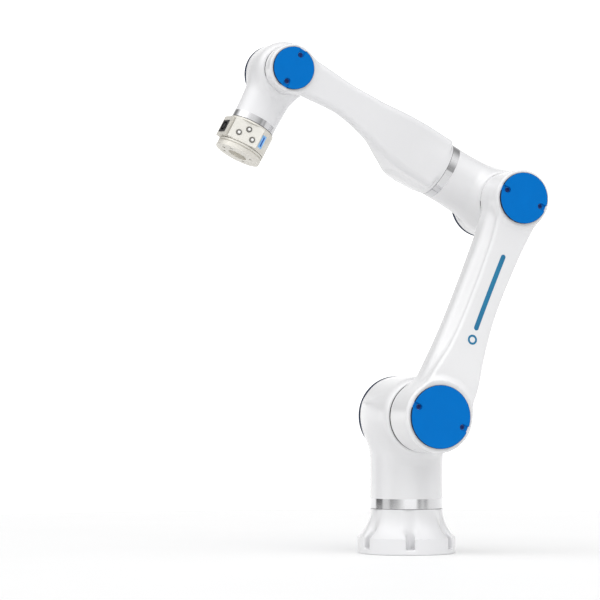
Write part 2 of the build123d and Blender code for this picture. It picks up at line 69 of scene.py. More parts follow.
def place(origin, z_axis, y_axis=(0.0, 1.0, 0.0)):
    """A local frame in millimetres: its origin, and its axes as the columns of a matrix."""
    z = unit(np.array(z_axis, float))
    y = np.array(y_axis, float)
    x = unit(np.cross(y, z))
    return np.array(origin, float) / MM, np.column_stack([x, np.cross(z, x), z])


def to_world(frame_at, points):
    origin, axes = frame_at
    return (np.asarray(points, float) @ axes.T + origin) * MM


shoulder_point = np.array(joints["shoulder_pitch"]["pos_m"])
elbow_point = np.array(joints["elbow_pitch"]["pos_m"])
wrist_point = np.array(joints["wrist_pitch"]["pos_m"])
ARM_LENGTH = np.linalg.norm(elbow_point - shoulder_point) / MM
FOREARM_LENGTH = np.linalg.norm(wrist_point - elbow_point) / MM
base_at = place((0, 0, 0), (0, 0, 1))
shoulder_at = place(shoulder_point, (0, 0, 1))
arm_at = place(shoulder_point, elbow_point - shoulder_point)
forearm_at = place(elbow_point, joints["forearm_roll"]["axis"])
wrist_at = place(wrist_point, joints["wrist_roll"]["axis"])

# ---- smooth solid fields: negative inside, millimetres ------------------------------


def blend_min(a, b, k):
    """The union of two fields with a fillet of about k."""
    h = np.clip(0.5 + 0.5 * (b - a) / k, 0.0, 1.0)
    return b * (1 - h) + a * h - k * h * (1 - h)


def blend_max(a, b, k):
    """The overlap of two fields with a rounded edge of about k."""
    return -blend_min(-a, -b, k)


def rounded_pair(a, b, radius):
    """The overlap of two fields at right angles, its edge an exact round."""
    outside = np.hypot(np.maximum(a + radius, 0), np.maximum(b + radius, 0))
    return outside + np.minimum(np.maximum(a, b) + radius, 0) - radius


def cylinder_y(p, radius, low, high, rounding):
    """A cylinder along local Y with rounded rims."""
    side = np.hypot(p[0], p[2]) - radius
    ends = np.abs(p[1] - (low + high) / 2) - (high - low) / 2
    return rounded_pair(side, ends, rounding)


def cylinder_z(p, radius, low, high, rounding):
    """A cylinder along local Z with rounded rims; the radius may vary with height."""
    side = np.hypot(p[0], p[1]) - radius
    ends = np.abs(p[2] - (low + high) / 2) - (high - low) / 2
    return rounded_pair(side, ends, rounding)


def curve(z, heights, values):
    """A smooth curve through a few values, flat beyond the ends."""
    heights = np.array(heights, float)
    values = np.array(values, float)
    slopes = np.zeros_like(values)
    slopes[1:-1] = (values[2:] - values[:-2]) / (heights[2:] - heights[:-2])
    z = np.clip(z, heights[0], heights[-1])
    i = np.clip(np.searchsorted(heights, z) - 1, 0, len(heights) - 2)
    step = heights[i + 1] - heights[i]
    t = (z - heights[i]) / step
    return (
        values[i] * (2 * t**3 - 3 * t**2 + 1)
        + values[i + 1] * (3 * t**2 - 2 * t**3)
        + slopes[i] * step * (t**3 - 2 * t**2 + t)
        + slopes[i + 1] * step * (t**3 - t**2)
    )


def bar_field(p, heights, x_low, x_high, y_front, y_back, corner):
    """A rounded bar along local Z whose four sides follow curves."""
    z = p[2]
    x0, x1 = curve(z, heights, x_low), curve(z, heights, x_high)
    y0, y1 = curve(z, heights, y_front), curve(z, heights, y_back)
    across = np.abs(p[0] - (x0 + x1) / 2) - (x1 - x0) / 2
    deep = np.abs(p[1] - (y0 + y1) / 2) - (y1 - y0) / 2
    corner = np.minimum(corner, np.minimum(x1 - x0, y1 - y0) / 2 - 1.0)
    section = rounded_pair(across, deep, corner)
    ends = np.abs(z - (heights[0] + heights[-1]) / 2) - (heights[-1] - heights[0]) / 2
    return blend_max(section, ends, 6.0)


# ---- from a field to a mesh ---------------------------------------------------------


def gradient(field, points):
    """The slope of a field at each point, by small steps."""
    small = 0.05
    parts = []
    for axis in range(3):
        step = np.zeros(3)
        step[axis] = small
        parts.append((field((points + step).T) - field((points - step).T)) / (2 * small))
    return np.column_stack(parts)


def net(field, low, high, cell):
    """The field's zero surface as quads, one vertex per grid cell, pulled onto the surface."""
    low = np.array(low, float)
    count = np.ceil((np.array(high, float) - low) / cell).astype(int) + 1
    axes = [low[i] + cell * np.arange(count[i]) for i in range(3)]
    grid = np.meshgrid(*axes, indexing="ij")
    value = field(grid)
    sums = np.zeros((*(count - 1), 3))
    hits = np.zeros(count - 1)
    crossings = []
    for axis in range(3):
        a = np.take(value, range(count[axis] - 1), axis)
        b = np.take(value, range(1, count[axis]), axis)
        where = np.argwhere((a < 0) != (b < 0))
        others = [i for i in range(3) if i != axis]
        inner = np.all((where[:, others] > 0) & (where[:, others] < count[others] - 1), axis=1)
        where = where[inner]
        fa, fb = a[tuple(where.T)], b[tuple(where.T)]
        point = low + cell * where
        point[:, axis] += cell * fa / (fa - fb)
        corners = []
        for du, dv in ((0, 0), (1, 0), (1, 1), (0, 1)):
            at = where.copy()
            at[:, others[0]] -= du
            at[:, others[1]] -= dv
            np.add.at(sums, tuple(at.T), point)
            np.add.at(hits, tuple(at.T), 1)
            corners.append(np.ravel_multi_index(at.T, count - 1))
        quad = np.column_stack(corners)
        flip = (fa < 0) != (axis == 1)
        quad[flip] = quad[flip][:, ::-1]
        crossings.append(quad)
    quads = np.vstack(crossings)
    used = np.flatnonzero(hits.ravel())
    index = np.full(hits.size, -1)
    index[used] = np.arange(len(used))
    points = sums.reshape(-1, 3)[used] / hits.ravel()[used][:, None]
    for _ in range(4):
        slope = gradient(field, points)
        size = np.maximum((slope**2).sum(1), 0.05)
        move = slope * (field(points.T) / size)[:, None]
        far = np.maximum(np.linalg.norm(move, axis=1) / (0.6 * cell), 1.0)
        points = points - move / far[:, None]
    return points, index[quads]


def casting(name, body, node, field, low, high, cell, at, cuts, material, slot_name):
    """One hollow casting: the field's surface, cut flat at its seams, in place of a CAD node."""
    points, quads = net(field, low, high, cell)
    mesh = bpy.data.meshes.new(name)
    mesh.from_pydata(points.tolist(), [], quads.tolist())
    work = bmesh.new()
    work.from_mesh(mesh)
    for point, outward in cuts:
        everything = work.verts[:] + work.edges[:] + work.faces[:]
        bmesh.ops.bisect_plane(
            work, geom=everything, plane_co=point, plane_no=outward, clear_outer=True, dist=1e-4
        )
    rims = [e for e in work.edges if e.is_boundary]
    if rims:
        ends = bmesh.ops.bridge_loops(work, edges=rims)["faces"] if len(cuts) == 1 else bridge(work, cuts)
        for face in ends:
            face.material_index = 1
    bmesh.ops.recalc_face_normals(work, faces=work.faces[:])
    work.to_mesh(mesh)
    work.free()
    count = len(mesh.vertices)
    local = np.empty(count * 3)
    mesh.vertices.foreach_get("co", local)
    local = local.reshape(-1, 3)
    slopes = gradient(field, local)
    slopes /= np.maximum(np.linalg.norm(slopes, axis=1), 1e-9)[:, None]
    world_normals = slopes @ at[1].T
    mesh.vertices.foreach_set("co", to_world(at, local).ravel())
    flat_face = np.zeros(len(mesh.polygons), dtype=int)
    mesh.polygons.foreach_get("material_index", flat_face)
    mesh.update()
    loops = np.empty(len(mesh.loops), dtype=int)
    mesh.loops.foreach_get("vertex_index", loops)
    normals = world_normals[loops]
    for polygon in mesh.polygons:
        if flat_face[polygon.index]:
            for loop in polygon.loop_indices:
                normals[loop] = polygon.normal
    mesh.polygons.foreach_set("material_index", np.zeros(len(mesh.polygons), dtype=int))
    mesh.polygons.foreach_set("use_smooth", np.ones(len(mesh.polygons), dtype=bool))
    mesh.normals_split_custom_set(normals.tolist())
    return add_piece(name, mesh, body, material, slot_name, node)


def bridge(work, cuts):
    """Closes each seam of a hollow casting with a flat ring between its two boundary loops."""
    faces = []
    for point, outward in cuts:
        point, outward = Vector(point), Vector(outward)
        rims = [
            e for e in work.edges
            if e.is_boundary and all(abs((v.co - point).dot(outward)) < 1e-3 for v in e.verts)
        ]
        if rims:
            faces += bmesh.ops.bridge_loops(work, edges=rims)["faces"]
    return faces


def add_piece(name, mesh, body, material, slot_name, *nodes):
    piece = bpy.data.objects.new(name, mesh)
    bpy.context.scene.collection.objects.link(piece)
    mesh.materials.append(material)
    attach(piece, body)
    if nodes:
        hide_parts(*nodes)
    return piece


# ---- materials ----------------------------------------------------------------------


def linear(red, green, blue):
    """An sRGB colour, 0 to 255, as linear values."""
    shares = (red / 255, green / 255, blue / 255)
    return tuple(((c + 0.055) / 1.055) ** 2.4 if c > 10 / 255 else c / 12.92 for c in shares) + (1.0,)


class Nodes:
    """A material's node tree, with short calls for the few nodes that these materials use."""

    def __init__(self, name, **shader):
        self.material = bpy.data.materials.new(name)
        self.material.use_nodes = True
        self.tree = self.material.node_tree
        self.shader = self.tree.nodes["Principled BSDF"]
        for key, value in shader.items():
            self.shader.inputs[key.replace("_", " ")].default_value = value
        self.where = self.add("ShaderNodeTexCoord").outputs["Object"]

    def add(self, kind, **settings):
        node = self.tree.nodes.new(kind)
        for key, value in settings.items():
            setattr(node, key, value)
        return node

    def link(self, source, target):
        self.tree.links.new(source, target)

    def noise(self, scale, detail=3.0, roughness=0.5, where=None):
        node = self.add("ShaderNodeTexNoise")
        node.inputs["Scale"].default_value = scale
        node.inputs["Detail"].default_value = detail
        node.inputs["Roughness"].default_value = roughness
        self.link(where or self.where, node.inputs["Vector"])
        return node.outputs["Fac"]

    def span(self, source, low, high, source_low=0.3, source_high=0.7):
        node = self.add("ShaderNodeMapRange")
        sockets = ("From Min", "From Max", "To Min", "To Max")
        for key, value in zip(sockets, (source_low, source_high, low, high)):
            node.inputs[key].default_value = value
        self.link(source, node.inputs["Value"])
        return node.outputs["Result"]

    def tint(self, factor, first, second):
        node = self.add("ShaderNodeMix", data_type="RGBA")
        node.inputs["A"].default_value = first
        node.inputs["B"].default_value = second
        self.link(factor, node.inputs["Factor"])
        self.link(node.outputs["Result"], self.shader.inputs["Base Color"])

    def bump(self, height, strength, distance, after=None):
        node = self.add("ShaderNodeBump")
        node.inputs["Strength"].default_value = strength
        node.inputs["Distance"].default_value = distance
        self.link(height, node.inputs["Height"])
        if after:
            self.link(after, node.inputs["Normal"])
        self.link(node.outputs["Normal"], self.shader.inputs["Normal"])
        return node.outputs["Normal"]

    def rough(self, factor, low, high):
        self.link(self.span(factor, low, high), self.shader.inputs["Roughness"])


def painted(name, light, dark, roughness=0.24):
    """Glossy paint over a casting: faint colour drift, orange peel and handling marks."""
    n = Nodes(name, Roughness=roughness, Coat_Weight=0.35, Coat_Roughness=0.12, Specular_IOR_Level=0.5)
    n.tint(n.span(n.noise(3.0, 2.0), 0.0, 1.0), light, dark)
    n.rough(n.noise(12.0, 3.0), roughness - 0.02, roughness + 0.02)
    peel = n.bump(n.noise(420.0, 2.0), 0.02, 0.0002)
    n.bump(n.noise(2600.0, 1.0), 0.03, 0.0001, after=peel)
    return n.material


def plastic(name, light, dark, roughness, shine=0.45, grain=2200.0, grain_depth=0.00012):
    """Moulded plastic with a fine grain."""
    n = Nodes(name, Roughness=roughness, Specular_IOR_Level=shine)
    n.tint(n.span(n.noise(26.0, 3.0), 0.0, 1.0), light, dark)
    n.rough(n.noise(70.0, 3.0), roughness - 0.05, roughness + 0.06)
    n.bump(n.noise(grain, 2.0), 0.16, grain_depth)
    return n.material


def turned_metal(name, axis, light, dark, roughness=0.1):
    """Metal turned on a lathe: fine rings round the given axis."""
    n = Nodes(name, Metallic=1.0, Roughness=roughness)
    dot = n.add("ShaderNodeVectorMath", operation="DOT_PRODUCT")
    n.link(n.where, dot.inputs[0])
    dot.inputs[1].default_value = tuple(axis)
    along = n.add("ShaderNodeCombineXYZ")
    n.link(dot.outputs["Value"], along.inputs["X"])
    rings = n.noise(5200.0, 3.0, 0.7, along.outputs["Vector"])
    n.tint(n.span(rings, 0.0, 1.0), light, dark)
    n.rough(rings, roughness - 0.03, roughness + 0.05)
    n.bump(rings, 0.12, 0.00003)
    return n.material


def blasted_metal(name, light, dark, roughness=0.42, metallic=0.55):
    """Bead-blasted and anodised aluminium."""
    n = Nodes(name, Metallic=metallic, Roughness=roughness)
    n.tint(n.span(n.noise(45.0, 4.0), 0.0, 1.0), light, dark)
    n.rough(n.noise(160.0, 3.0), roughness - 0.06, roughness + 0.08)
    n.bump(n.noise(3800.0, 2.0), 0.3, 0.00012)
    return n.material


def glowing(name, colour, strength):
    """A lit window: milky plastic with a soft glow that is a little uneven."""
    n = Nodes(name, Roughness=0.3, Emission_Strength=strength)
    n.shader.inputs["Emission Color"].default_value = colour
    n.tint(n.span(n.noise(160.0, 2.0), 0.0, 1.0), colour, tuple(0.7 * c for c in colour[:3]) + (1.0,))
    n.bump(n.noise(1500.0, 2.0), 0.1, 0.0001)
    return n.material


WHITE = painted("white_paint", linear(227, 227, 228), linear(225, 225, 227))
BLUE = plastic("blue_plastic", linear(0, 110, 193), linear(0, 108, 190), 0.34, 0.06)
BLACK = plastic("black_plastic", linear(22, 22, 24), linear(30, 30, 32), 0.42)
# Dark grey for the rings in the joints between housings: painted shade that stands in for the shadow in each
# seam.
SEAM_SHADE = plastic("seam_painted_shade", linear(42, 44, 48), linear(34, 35, 39), 0.6, 0.2)
# Dark navy for a band round each cap's side wall: painted shade that stands in for the shaded side of the
# cap.
CAP_EDGE_SHADE = plastic("cap_edge_painted_shade", linear(8, 36, 66), linear(6, 30, 58), 0.45, 0.1)
GREY = blasted_metal("warm_grey_anodised", linear(222, 219, 211), linear(213, 210, 202), metallic=0.35)
PANEL = plastic("panel_plastic", linear(228, 226, 219), linear(221, 219, 212), 0.45)
KEY = plastic("key_white", linear(242, 242, 240), linear(232, 232, 230), 0.3)
KEY_RING = plastic("key_ring_grey", linear(120, 118, 113), linear(104, 102, 98), 0.35)
LIGHT = glowing("status_light", linear(120, 176, 226), 0.25)
LIGHT_CORE = glowing("status_light_core", linear(8, 70, 160), 0.2)
SCREW = blasted_metal("dark_oxide_steel", linear(22, 52, 120), linear(16, 40, 100), 0.38, 0.5)
STEEL = blasted_metal("ground_steel", linear(176, 177, 180), linear(158, 159, 163), 0.35, 1.0)
DARK = blasted_metal("motor_dark", linear(72, 74, 80), linear(60, 62, 68), 0.5, 0.8)
STRIPE = plastic("stripe_ink", linear(24, 118, 158), linear(20, 108, 148), 0.35)

# ---- castings -----------------------------------------------------------------------
WALL = 4.5
FOREARM_WALL = 6.5
# Where the castings end, on the Z axis of their own frames, and from the floor for the column.
BASE_TOP = 71.7
COLUMN_START = 88.3
ELBOW_NECK_END = 100.1
SLEEVE_START = 113.3
WRIST_NECK_END = 88.2


def hollow(value, wall=WALL):
    """A wall of even thickness just inside a field's surface."""
    return np.maximum(value, -(value + wall))


def node_middle(node):
    """The middle of a CAD node's box, in millimetres."""
    low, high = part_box(node)
    return (np.array(low) + np.array(high)) / 2 / MM


def node_span(node, at, axis):
    """A CAD node's lowest and highest place along one axis of a frame, in millimetres."""
    mesh = frame["nodes"][node].data
    points = np.empty(len(mesh.vertices) * 3)
    mesh.vertices.foreach_get("co", points)
    along = (points.reshape(-1, 3) / MM - at[0]) @ at[1][:, axis]
    return along.min(), along.max()


def base_radius(z):
    """The base's outline: a straight rim, then a flare that ends upright at the top."""
    rim, rim_height, top_radius, top, flare = 78.5, 26.0, 58.5, 71.7, 61.7
    drop = np.clip(top - z, 0, flare * 0.999)
    flared = top_radius + flare - np.sqrt(flare**2 - drop**2)
    return np.where(z < rim_height, rim, np.minimum(flared, rim))


def base_field(p):
    """The base: a flared body with six bolt grooves over a foot, and a stepped bore."""
    turn, bolt_circle, groove_radius, hole_radius, foot = math.radians(13.0), 69.0, 6.5, 4.5, 9.0
    bore, top_bore, deck = 46.0, 38.0, 60.0
    x, y, z = p
    r = np.hypot(x, y)
    side = (r - base_radius(z)) * np.where((z > 24) & (z < 73), 0.85, 1.0)
    value = blend_max(side, -z, 2.5)
    value = np.maximum(value, z - 90)
    angle = np.arctan2(y, x) - turn
    step = math.pi / 3
    angle = angle - step * np.round(angle / step)
    u, v = r * np.cos(angle), r * np.sin(angle)
    groove = np.hypot(np.minimum(u - bolt_circle, 0), v) - groove_radius
    groove = blend_max(groove, foot - z, 2.0)
    value = blend_max(value, -groove, curve(z, (9, 26, 44, 70), (4.0, 5.0, 11.0, 13.0)))
    value = np.maximum(value, hole_radius - np.hypot(u - bolt_circle, v))
    return np.maximum(value, np.where(z > deck, top_bore, bore) - r)


def shoulder_field(p):
    """The shoulder: an upright column into a module across it, scooped out behind the column."""
    back, cover = 42.0, 4.0
    column = cylinder_z(p, curve(p[2], (-150, -75, -20, 60), (59, 59, 61, 62)), -160, 20, 2)
    radius = curve(p[1], (-69.6, -66, -58, -45, 42), (59.4, 61.2, 63.2, 64, 64))
    module = cylinder_y(p, radius, -69.6, back, 1.6)
    value = blend_min(column, module, 20.0)
    scoop = rounded_pair(back - p[1], -88.0 - p[2], 17.0)
    value = blend_max(value, -scoop, 4.0)
    value = np.where(p[2] > -75, np.maximum(value, p[1] - back), value)
    turret_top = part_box("j1_brake_encoder")[1][2] / MM - shoulder_at[0][2] + cover
    turret = cylinder_z(p, 52.0, -160.0, turret_top, 3.0)
    return hollow(blend_min(value, turret, 4.0))


def arm_field(p):
    """The upper arm: a rounded spine under a narrower face plate, between a large and a small boss."""
    lower_front, upper_front, lower_back, upper_back = -141.1, -119.1, -70.2, -52.0
    heights = (0, 60, 120, 190, 290, 345, 380)
    spine = bar_field(
        p, heights, (-44, -40, -35.5, -33, -33.5, -37, -38), (44, 42, 36, 31, 33, 36, 38),
        (-120, -122, -114, -108, -104, -104, -104), (-70.2, -70.2, -67, -61, -53.5, -52.0, -52.0), 17.0
    )
    plate = bar_field(
        p, heights, (-42, -36, -23, -18.5, -20.5, -28, -34), (44, 46, 38, 32, 34, 38, 38),
        (-138, -136.5, -128, -121, -116.5, -116.5, -117), (-90, -90, -86, -80, -75, -75, -75), 5.0
    )
    value = blend_min(spine, plate, 7.0)
    lower = cylinder_y(p, 57.0, lower_front, lower_back, 5.0)
    shifted = (p[0], p[1], p[2] - ARM_LENGTH)
    upper = cylinder_y(shifted, 46.0, upper_front, upper_back, 4.0)
    value = blend_min(value, lower, 12.0)
    value = blend_min(value, upper, 10.0)
    value = np.maximum(value, p[1] - np.where(p[2] < 75, lower_back, upper_back))
    return hollow(np.maximum(value, np.where(p[2] > 310, upper_front, lower_front) - p[1]))


def elbow_field(p):
    """The elbow: a module across the joint with a neck to the forearm."""
    front, back = -51.4, 46.6
    neck = cylinder_z(p, curve(p[2], (0, 20, 70, 130), (50, 50, 46.5, 46.5)), 0, 130, 2)
    radius = curve(p[1], (front, -48, -41, -32, back), (48.0, 49.6, 51.3, 52, 52))
    module = cylinder_y(p, radius, front, back, 1.4)
    return hollow(np.maximum(blend_min(neck, module, 14.0), p[1] - back))


def forearm_field(p):
    """The forearm: a round sleeve that narrows into a flat beam with a boss at its end."""
    front, back = -65.6, -38.6
    sleeve = cylinder_z(p, 46.5, 90, 186, 7.0)
    heights = (120, 175, 215, 262, 320, 380, 430)
    beam = bar_field(
        p, heights, (-44, -45, -42, -33, -23.5, -28, -30), (44, 43, 39, 33, 30, 33, 33),
        (-44, -50, -58, -63.5, -65, -65.5, -65.5), (40, 38, 0, -38, -43.5, -42, -42), 12.0
    )
    value = blend_min(sleeve, beam, 8.0)
    shifted = (p[0], p[1], p[2] - FOREARM_LENGTH)
    end = cylinder_y(shifted, 38.5, front, back, 3.5)
    value = blend_min(value, end, 10.0)
    value = np.maximum(value, front - p[1])
    return hollow(np.where(p[2] > 375, np.maximum(value, p[1] - back), value), FOREARM_WALL)


def wrist_field(p):
    """The wrist: a module across the joint with a neck to the tool, scooped out behind the neck."""
    neck = cylinder_z(p, curve(p[2], (0, 25, 75, 120), (40, 39, 36, 36)), 0, 120, 2)
    radius = curve(p[1], (-38, -35, -29, -20, 30), (40.5, 43.0, 45.8, 47, 47))
    module = cylinder_y(p, radius, -38.0, 30.0, 1.4)
    value = blend_min(neck, module, 14.0)
    scoop = rounded_pair(30.6 - p[1], p[2] - 61.0, 9.0)
    return hollow(blend_max(value, -scoop, 3.0))


def build_castings():
    """The six housings: body, CAD node, field, the box of its grid, cell size, frame and seams."""
    up, down = (0, 0, 1), (0, 0, -1)
    column_foot = (0, 0, COLUMN_START - shoulder_at[0][2])
    for name, node, field, low, high, cell, at, cuts in (
        ("base", "base_housing", base_field, (-82, -82, -4), (82, 82, 84), 2.0, base_at,
         [((0, 0, BASE_TOP), up), ((0, 0, 0), down)]),
        ("shoulder", "shoulder_housing", shoulder_field, (-68, -74, -150), (68, 66, 68), 2.2, shoulder_at,
         [(column_foot, down)]),
        ("upper_arm", "upper_arm_housing", arm_field, (-62, -146, -62), (62, -46, 432), 2.2, arm_at, []),
        ("elbow", "elbow_housing", elbow_field, (-56, -56, -56), (56, 52, 118), 2.0, forearm_at,
         [((0, 0, ELBOW_NECK_END), up)]),
        ("forearm", "forearm_housing", forearm_field, (-52, -72, 100), (52, 52, 464), 2.2, forearm_at,
         [((0, 0, SLEEVE_START), down)]),
        ("wrist", "wrist_housing", wrist_field, (-52, -42, -52), (52, 42, 104), 2.0, wrist_at,
         [((0, 0, WRIST_NECK_END), up)]),
    ):
        casting(name + "_casting", name, node, field, low, high, cell, at, cuts, WHITE, "white_shell")


build_castings()

# ---- painted seam shade, painted cap-edge shade, keys and the printed stripe --------
RING_STEPS = 192


def revolved(name, body, at, axis, profile, material, slot_name, arcs=((0.0, math.tau),)):
    """A closed profile of (radius, place along the axis) turned about local Y or Z, whole or in arcs."""
    points, faces = [], []
    count = len(profile)
    for start, end in arcs:
        whole = end - start > math.tau - 1e-6
        steps = max(int(RING_STEPS * (end - start) / math.tau), 8)
        first = len(points)
        rows = steps if whole else steps + 1
        for i in range(rows):
            angle = start + (end - start) * i / steps
            for radius, along in profile:
                a, b = radius * math.cos(angle), radius * math.sin(angle)
                points.append((a, along, b) if axis == "y" else (a, b, along))
        for i in range(steps):
            near, far = first + i * count, first + (i + 1) % rows * count
            for j in range(count):
                k = (j + 1) % count
                faces.append((near + j, near + k, far + k, far + j))
        if not whole:
            faces.append(tuple(first + j for j in range(count)))
            faces.append(tuple(first + (rows - 1) * count + j for j in range(count)))
    return solid_piece(name, to_world(at, points), faces, body, material, slot_name)


def solid_piece(name, points, faces, body, material, slot_name, *nodes):
    """A closed mesh with smooth rounds and sharp corners."""
    mesh = bpy.data.meshes.new(name)
    mesh.from_pydata(points.tolist(), [], faces)
    work = bmesh.new()
    work.from_mesh(mesh)
    bmesh.ops.remove_doubles(work, verts=work.verts[:], dist=1e-6)
    loose = [e for e in work.edges if not e.link_faces]
    bmesh.ops.delete(work, geom=loose, context="EDGES")
    bmesh.ops.recalc_face_normals(work, faces=work.faces[:])
    work.to_mesh(mesh)
    work.free()
    mesh.polygons.foreach_set("use_smooth", [True] * len(mesh.polygons))
    mesh.set_sharp_from_angle(angle=math.radians(35))
    return add_piece(name, mesh, body, material, slot_name, *nodes)


def band_profile(inner, outer, low, high, chamfer=0.15):
    """The section of a thin band, its outer corners broken."""
    return [(inner, low), (outer - chamfer, low), (outer, low + chamfer), (outer, high - chamfer),
            (outer - chamfer, high), (inner, high)]


def build_seam_shades():
    """Dark rings set into each joint between two housings: painted shade that stands in for the shadow in
    each seam.
    """
    arm_end = (elbow_point / MM, arm_at[1])
    forearm_end = (wrist_point / MM, forearm_at[1])
    for name, body, at, axis, radius, low, high in (
        ("j1_seam_shade", "base", base_at, "z", 58.4, 71.5, 72.5),
        ("j2_seam_shade", "shoulder", arm_at, "y", 56.7, -70.4, -69.5),
        ("j3_seam_shade", "upper_arm", arm_end, "y", 45.7, -52.2, -51.3),
        ("j4_seam_shade", "elbow", forearm_at, "z", 46.4, 112.5, 113.5),
        ("j5_seam_shade", "forearm", forearm_end, "y", 38.2, -38.8, -37.9),
        ("j6_seam_shade", "wrist", wrist_at, "z", 35.9, 98.5, 99.5),
    ):
        profile = band_profile(radius - 3.0, radius, low, high)
        revolved(name, body, at, axis, profile, SEAM_SHADE, "connector_black")


def build_cap_edge_shades():
    """A dark navy band round each cap's side wall: painted shade where the side wall falls in shadow. It is
    open where a screw slot runs out to the rim.
    """
    slot_half_width, proud = 5.0, 0.35
    arm_end = (elbow_point / MM, arm_at[1])
    forearm_end = (wrist_point / MM, forearm_at[1])
    for cap, body, at, thickness in (
        ("shoulder_back_cap", "shoulder", shoulder_at, 6.0),
        ("upper_arm_lower_cap", "upper_arm", arm_at, 4.5),
        ("upper_arm_upper_cap", "upper_arm", arm_end, 4.5),
        ("elbow_back_cap", "elbow", forearm_at, 6.0),
        ("forearm_end_cap", "forearm", forearm_end, 4.0),
        ("wrist_back_cap", "wrist", wrist_at, 6.0),
    ):
        x_low, x_high = node_span(cap, at, 0)
        y_low, y_high = node_span(cap, at, 1)
        radius = (x_high - x_low) / 2
        if y_high > 0:
            low, high = y_high - thickness - 0.6, y_high - 0.45
        else:
            low, high = y_low + 0.45, y_low + thickness + 0.6
        gap = 0.0 if y_high > 0 else math.asin(slot_half_width / radius)
        arcs = [(gap, math.pi - gap), (math.pi + gap, math.tau - gap)] if gap else [(0.0, math.tau)]
        profile = band_profile(radius - 0.6, radius + proud, low, high)
        revolved(cap + "_edge", body, at, "y", profile, CAP_EDGE_SHADE, "blue_cap", arcs)


def build_keys():
    """The white key in the middle of each round push button."""
    for name in ("free_drive_button", "record_point_button", "user_button"):
        outward = -np.array(joints[name + "_press"]["axis"])
        at = place(node_middle(name) * MM, outward, wrist_at[1][:, 2])
        top = node_span(name, at, 2)[1]
        dome = [(0, top - 0.6), (2.3, top - 0.6), (2.3, top + 0.1), (2.1, top + 0.35), (1.4, top + 0.5),
                (0, top + 0.55)]
        revolved(name + "_key", name, at, "z", dome, KEY, "button_white")


def build_light_core():
    """The lit line down the middle of the status light's window."""
    outward = unit(np.cross(wrist_at[1][:, 2], np.cross(node_middle("status_light_window") - wrist_at[0],
                                                         wrist_at[1][:, 2])))
    at = place(node_middle("status_light_window") * MM, outward, wrist_at[1][:, 2])
    top = node_span("status_light_window", at, 2)[1]
    half_width, half_length, bevel = 1.3, 8.2, 0.3
    points, faces = [], []
    for shrink, height in ((0.0, top - 0.4), (0.0, top + 0.15), (bevel, top + 0.35)):
        for a, b in ((-1, -1), (1, -1), (1, 1), (-1, 1)):
            points.append((a * (half_width - shrink), b * (half_length - shrink), height))
    for ring in (0, 4):
        for i in range(4):
            j = (i + 1) % 4
            faces.append((ring + i, ring + j, ring + 4 + j, ring + 4 + i))
    faces += [(0, 1, 2, 3), (8, 9, 10, 11)]
    solid_piece("status_light_core", to_world(at, points), faces, "tool", LIGHT_CORE, "light_blue")


def arm_front(x, z):
    """The local Y of the upper arm's front surface over each point (x, z)."""
    y = np.full_like(x, -160.0)
    for _ in range(80):
        y = y + 0.8 * arm_field(np.array([x, y, z]))
    return y


def decal(name, x, z, wrap):
    """A print 0.2 mm thick on the upper arm's front, over a grid of local (x, z) points."""
    rows, columns = x.shape
    y = arm_front(x, z)
    front = np.stack([x, y - 0.2, z], axis=-1).reshape(-1, 3)
    back = np.stack([x, y + 0.3, z], axis=-1).reshape(-1, 3)
    total = rows * columns
    faces = []
    last_row = rows if wrap else rows - 1
    for i in range(last_row):
        near, far = i * columns, (i + 1) % rows * columns
        for j in range(columns - 1):
            quad = (near + j, near + j + 1, far + j + 1, far + j)
            faces += [quad, tuple(total + v for v in quad)]
        for j in (0, columns - 1):
            faces.append((near + j, far + j, total + far + j, total + near + j))
    if not wrap:
        for i in (0, (rows - 1) * columns):
            for j in range(columns - 1):
                faces.append((i + j, i + j + 1, total + i + j + 1, total + i + j))
    solid_piece(name, to_world(arm_at, np.vstack([front, back])), faces, "upper_arm", STRIPE, "light_blue")


def build_stripe():
    """A plain bar and a ring, printed along the upper arm."""
    middle, half_width = 7.0, 4.0
    z = np.linspace(152.0, 284.0, 90)
    beyond = np.maximum(np.maximum(z[0] + half_width - z, z - z[-1] + half_width), 0)
    half = np.sqrt(np.maximum(half_width**2 - beyond**2, 0.2))
    across = np.linspace(-1.0, 1.0, 7)
    decal("stripe_bar", middle + half[:, None] * across, np.repeat(z[:, None], 7, axis=1), False)
    angle = np.linspace(0, math.tau, 72, endpoint=False)[:, None]
    radius = np.linspace(4.6, 8.0, 4)
    decal("stripe_ring", middle + 0.5 + radius * np.cos(angle), 136.0 + radius * np.sin(angle), True)


build_seam_shades()
build_cap_edge_shades()
build_keys()
build_light_core()
build_stripe()

# ---- materials of the CAD nodes that stay -------------------------------------------


def dress():
    """Gives every CAD node that shows, and every hidden one, its material by the ending of its name."""
    ring_axes = {"shoulder_trim_ring": (0, 0, 1), "elbow_trim_ring": forearm_at[1][:, 2],
                 "wrist_trim_ring": wrist_at[1][:, 2]}
    rules = [
        ("cap_screws", SCREW), ("_cap", BLUE), ("_reducer", STEEL), ("_output_flange", STEEL),
        ("_motor_stator", DARK), ("_brake_encoder", DARK), ("_rotor_shaft", STEEL),
        ("base_bottom_cover", STEEL), ("base_connector", BLACK), ("io_connector", BLACK),
        ("tool_io_housing", GREY), ("tool_flange", GREY), ("button_panel", PANEL),
        ("_button", KEY_RING), ("status_light_window", LIGHT),
    ]
    for name, node in frame["nodes"].items():
        if name in ring_axes:
            bright, dull = linear(222, 222, 223), linear(206, 206, 208)
            material = turned_metal(name + "_metal", ring_axes[name], bright, dull)
        else:
            material = next((m for ending, m in rules if name.endswith(ending)), WHITE)
        if not node.material_slots:
            node.data.materials.append(material)
        for part in node.material_slots:
            part.link = "OBJECT"
            part.material = material


dress()

# ---- floor, lights and camera -------------------------------------------------------
FLOOR_RADIUS = 1.5
